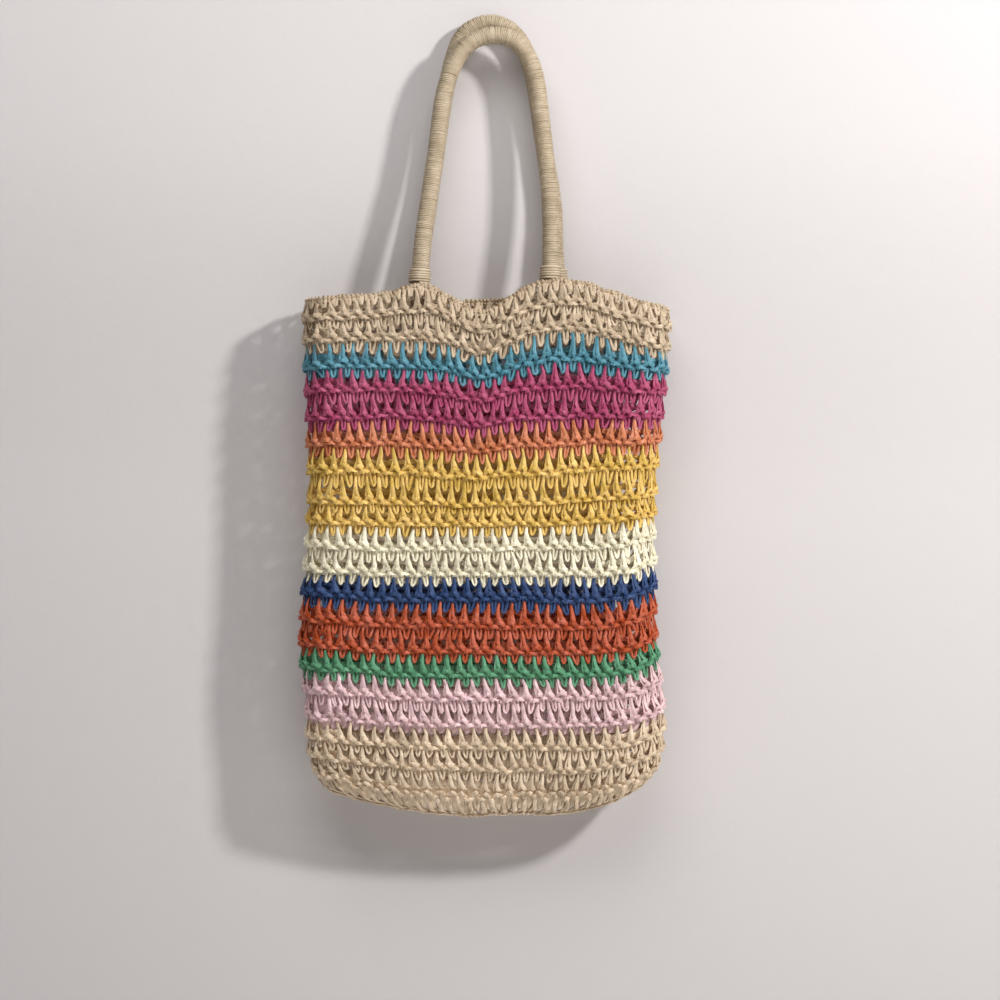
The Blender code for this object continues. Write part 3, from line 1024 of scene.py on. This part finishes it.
def straw_group():
    """Creased, twisted paper straw: colour, roughness and height from how far along and
    round the strand a point lies. The colour is darker in the crease valleys and lighter on
    their ridges, which is painted shade and painted highlight, under the straw's own uneven tone."""
    tree = bpy.data.node_groups.new("creased_straw", "ShaderNodeTree")
    for label, kind in (
        ("Colour", "Color"),
        ("Crease depth", "Float"),
        ("Crease count", "Float"),
        ("Twist", "Float"),
        ("Tone and painted light", "Float"),
    ):
        tree.interface.new_socket(label, in_out="INPUT", socket_type=f"NodeSocket{kind}")
    for label, kind in (("Colour", "Color"), ("Roughness", "Float"), ("Height", "Float")):
        tree.interface.new_socket(label, in_out="OUTPUT", socket_type=f"NodeSocket{kind}")
    tools = Tree(tree)
    given = tools.add("NodeGroupInput").outputs
    result = tools.add("NodeGroupOutput")
    along = tools.add("ShaderNodeAttribute", attribute_name="along").outputs["Fac"]
    facing = tools.add("ShaderNodeAttribute", attribute_name="facing").outputs["Vector"]
    turn = tools.math("MULTIPLY", along, given["Twist"])
    turned = tools.add(
        "ShaderNodeVectorRotate", {"Vector": facing, "Angle": turn}, rotation_type="Z_AXIS"
    ).outputs[0]
    cx, cy, _ = tools.parts(turned)
    count = given["Crease count"]
    streak_at = tools.xyz(
        tools.math("MULTIPLY", cx, count),
        tools.math("MULTIPLY", cy, count),
        tools.math("MULTIPLY", along, STREAKS_ALONG),
    )
    streaks = tools.add(
        "ShaderNodeTexNoise", {"Vector": streak_at, "Scale": 1.0, "Detail": 3.0, "Roughness": 0.6}
    ).outputs["Fac"]
    place = tools.add("ShaderNodeTexCoord").outputs["Object"]
    patches = tools.add(
        "ShaderNodeTexNoise", {"Vector": place, "Scale": PATCH_SCALE, "Detail": 3.0}
    ).outputs["Fac"]
    broad = tools.add(
        "ShaderNodeTexNoise", {"Vector": place, "Scale": BROAD_SCALE, "Detail": 2.0}
    ).outputs["Fac"]
    # Crease streaks: darker in the valleys, where the height is low, and lighter on the ridges;
    # this is painted shade and painted highlight. The patches and broad noise added next are the
    # straw's uneven tone.
    light = tools.math("SUBTRACT", streaks, 0.5)
    for noise, share in ((patches, PATCH_SHARE), (broad, BROAD_SHARE)):
        light = tools.math("MULTIPLY_ADD", tools.math("SUBTRACT", noise, 0.5), share, light)
    # This scale sets how strongly both the painted shade and highlight of the creases and the
    # uneven tone show.
    value = tools.math("MULTIPLY_ADD", light, given["Tone and painted light"], 1.0)
    # Darker parts are made more saturated and lighter ones paler, as painted shade and painted
    # highlight.
    shaded = tools.add(
        "ShaderNodeHueSaturation",
        {
            "Color": given["Colour"],
            "Value": value,
            "Saturation": tools.math("MULTIPLY_ADD", light, -SATURATION_LOST, 1.0),
        },
    ).outputs[0]
    tools.put(shaded, result.inputs["Colour"])
    rough = tools.math("MULTIPLY_ADD", streaks, ROUGHNESS_CHANGE, SMOOTHEST)
    tools.put(rough, result.inputs["Roughness"])
    tools.put(tools.math("MULTIPLY", streaks, given["Crease depth"]), result.inputs["Height"])
    return tree


def straw_material(name, colour, group, finish):
    material = bpy.data.materials.new(name)
    material.use_nodes = True
    tools = Tree(material.node_tree)
    shader = material.node_tree.nodes["Principled BSDF"]
    straw = tools.add("ShaderNodeGroup", node_tree=group)
    straw.inputs["Colour"].default_value = (*colour, 1.0)
    labels = ("Crease depth", "Crease count", "Twist", "Tone and painted light")
    for label, value in zip(labels, finish):
        straw.inputs[label].default_value = value
    bump = tools.add("ShaderNodeBump", {"Distance": CREASE_HEIGHT, "Strength": CREASE_STRENGTH})
    tools.put(straw.outputs["Height"], bump.inputs["Height"])
    tools.put(straw.outputs["Colour"], shader.inputs["Base Color"])
    tools.put(straw.outputs["Roughness"], shader.inputs["Roughness"])
    tools.put(bump.outputs["Normal"], shader.inputs["Normal"])
    shader.inputs["Specular IOR Level"].default_value = 0.4
    return material


def plain_material(name, colour, roughness):
    material = bpy.data.materials.new(name)
    material.use_nodes = True
    shader = material.node_tree.nodes["Principled BSDF"]
    shader.inputs["Base Color"].default_value = (*colour, 1.0)
    shader.inputs["Roughness"].default_value = roughness
    return material


def rope_finish(name):
    material = bpy.data.materials.new(name)
    material.use_nodes = True
    tools = Tree(material.node_tree)
    shader = material.node_tree.nodes["Principled BSDF"]
    place = tools.add("ShaderNodeTexCoord").outputs["Object"]
    fibres = tools.add(
        "ShaderNodeTexNoise", {"Vector": place, "Scale": 900.0, "Detail": 4.0}
    ).outputs["Fac"]
    ramp = tools.add("ShaderNodeValToRGB", {"Fac": fibres})
    ramp.color_ramp.elements[0].color = (*ROPE_DARK, 1.0)
    ramp.color_ramp.elements[1].color = (*ROPE_LIGHT, 1.0)
    tools.put(ramp.outputs["Color"], shader.inputs["Base Color"])
    shader.inputs["Roughness"].default_value = 0.85
    return material


# Setting


def backdrop_material():
    """Wall that shows only from its front and lets lamps and sky through for the rest."""
    material = bpy.data.materials.new("pale_wall")
    material.use_nodes = True
    tools = Tree(material.node_tree)
    nodes = material.node_tree.nodes
    shader = nodes["Principled BSDF"]
    shader.inputs["Base Color"].default_value = (*WALL_COLOUR, 1.0)
    shader.inputs["Roughness"].default_value = 0.9
    place = tools.add("ShaderNodeTexCoord").outputs["Object"]
    plaster = tools.add(
        "ShaderNodeTexNoise", {"Vector": place, "Scale": 55.0, "Detail": 6.0, "Roughness": 0.6}
    ).outputs["Fac"]
    bump = tools.add("ShaderNodeBump", {"Height": plaster, "Distance": 0.0006, "Strength": 0.5})
    tools.put(bump.outputs["Normal"], shader.inputs["Normal"])
    path = tools.add("ShaderNodeLightPath").outputs
    seen = tools.math("MAXIMUM", path["Is Camera Ray"], path["Is Glossy Ray"])
    seen = tools.math("MAXIMUM", seen, path["Is Transmission Ray"])
    back = tools.add("ShaderNodeNewGeometry").outputs["Backfacing"]
    shown = tools.math("MULTIPLY", seen, tools.math("SUBTRACT", 1.0, back))
    clear = tools.add("ShaderNodeBsdfTransparent")
    mixed = tools.add("ShaderNodeMixShader", {0: shown})
    tools.put(clear.outputs[0], mixed.inputs[1])
    tools.put(shader.outputs[0], mixed.inputs[2])
    tools.put(mixed.outputs[0], nodes["Material Output"].inputs["Surface"])
    return material


def sheet_object(name, corners, faces, material):
    mesh = bpy.data.meshes.new(name)
    mesh.from_pydata(corners, [], faces)
    mesh.shade_smooth()
    mesh.materials.append(material)
    made = bpy.data.objects.new(name, mesh)
    bpy.context.scene.collection.objects.link(made)
    return made


def area_light(name, place, size, watts, colour):
    data = bpy.data.lights.new(name, "AREA")
    data.shape = "RECTANGLE"
    data.size, data.size_y = size
    data.energy = watts
    data.color = colour
    lamp = bpy.data.objects.new(name, data)
    lamp.location = place
    aim = Vector(LAMPS_AIM) - Vector(place)
    lamp.rotation_euler = aim.to_track_quat("-Z", "Y").to_euler()
    bpy.context.scene.collection.objects.link(lamp)


def wall_y(z):
    """Depth of the wall, which comes forward behind the handles."""
    return WALL_Y - WALL_LEAN * float(ease((z - LEAN_FROM) / (LEAN_TO - LEAN_FROM)))


def studio():
    steps = range(WALL_STEPS + 1)
    heights = [FLOOR_Z + (WALL_TOP - FLOOR_Z) * i / WALL_STEPS for i in steps]
    ends = (-WALL_HALF_WIDTH, WALL_HALF_WIDTH)
    sheet_object(
        "wall",
        [(x, wall_y(z), z) for z in heights for x in ends],
        [(2 * i, 2 * i + 1, 2 * i + 3, 2 * i + 2) for i in range(WALL_STEPS)],
        backdrop_material(),
    )
    half = FLOOR_HALF_WIDTH
    sheet_object(
        "floor",
        [(x * half, y * half, FLOOR_Z) for x, y in ((-1, -1), (1, -1), (1, 1), (-1, 1))],
        [(0, 1, 2, 3)],
        plain_material("pale_floor", FLOOR_COLOUR, 0.8),
    )
    world = bpy.data.worlds.new("soft_room")
    world.use_nodes = True
    background = world.node_tree.nodes["Background"]
    background.inputs["Color"].default_value = (*SKY_COLOUR, 1.0)
    background.inputs["Strength"].default_value = SKY_STRENGTH
    bpy.context.scene.world = world
    for name, settings in LAMPS.items():
        area_light(name, *settings)
    bpy.context.scene.view_settings.view_transform = "Standard"

    camera_data = bpy.data.cameras.new("camera")
    camera_data.sensor_width = SENSOR_WIDTH
    camera_data.lens = CAMERA_LENS
    camera = bpy.data.objects.new("camera", camera_data)
    camera.location = CAMERA_PLACE
    camera.rotation_euler = (math.pi / 2, 0.0, 0.0)
    bpy.context.scene.collection.objects.link(camera)
    bpy.context.scene.camera = camera


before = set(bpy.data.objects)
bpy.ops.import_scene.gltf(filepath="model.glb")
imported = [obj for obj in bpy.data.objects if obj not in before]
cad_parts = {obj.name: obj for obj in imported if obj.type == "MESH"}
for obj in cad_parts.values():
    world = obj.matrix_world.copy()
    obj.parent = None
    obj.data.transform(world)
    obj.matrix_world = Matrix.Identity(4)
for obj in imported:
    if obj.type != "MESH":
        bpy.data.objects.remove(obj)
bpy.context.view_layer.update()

straw = straw_group()
finishes = {
    node: straw_material(f"{node}_straw", colour, straw, STRAW_FINISH)
    for node, colour in STRAW_COLOURS.items()
}
twine = straw_material("handle_twine", TWINE_COLOUR, straw, TWINE_FINISH)
crocheted_stripes(body_form(), finishes)
wound_handles(twine, rope_finish("handle_rope"))
studio()
